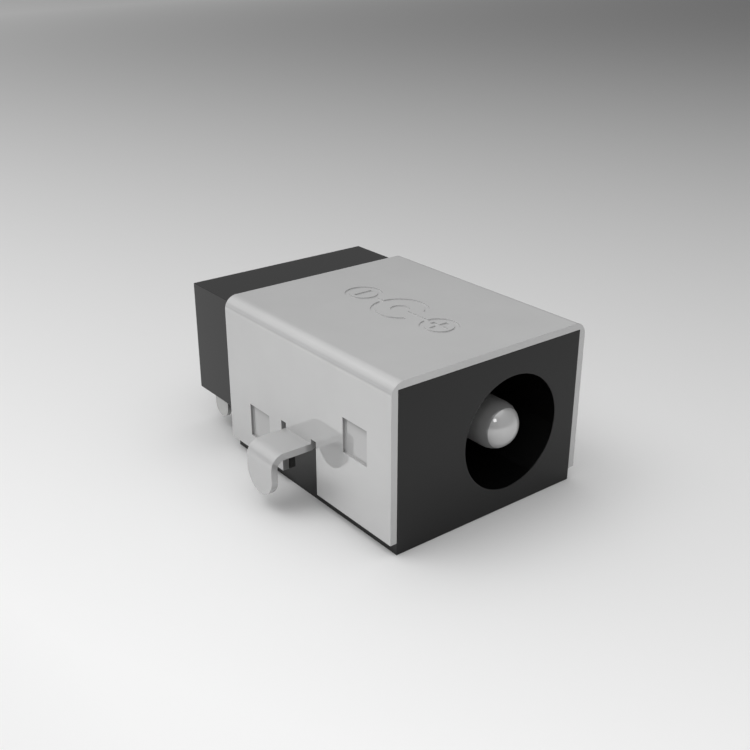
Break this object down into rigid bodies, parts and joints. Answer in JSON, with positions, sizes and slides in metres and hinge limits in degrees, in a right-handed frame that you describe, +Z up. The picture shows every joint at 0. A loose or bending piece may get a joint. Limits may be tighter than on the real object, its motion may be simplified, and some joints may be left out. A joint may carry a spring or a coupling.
{
  "type": "dc barrel jack",
  "caption": "Switched DC barrel jack: black moulded body with an off-centre round socket and centre pin under a folded metal shield with hooked board legs.",
  "frame": {"origin": "middle of the jack's footprint, on the housing's underside", "axes": "+Z up from the underside, +Y from the plug side to the rear, +X to the right as seen from the plug side"},
  "size_m": [0.0168, 0.0178, 0.0087],
  "materials": {
    "black_plastic": "smooth glossy moulding",
    "shield_metal": "bright satin tin plate",
    "pin_metal": "bright nickel plate",
    "contact_metal": "tin-plated copper alloy"
  },
  "bodies": {
    "root": {"front_housing": "black_plastic", "rear_cap": "black_plastic", "shield_shell": "shield_metal", "center_pin": "pin_metal", "sleeve_spring": "contact_metal", "break_contact": "contact_metal", "pin_terminal": "contact_metal"}
  },
  "joints": []
}
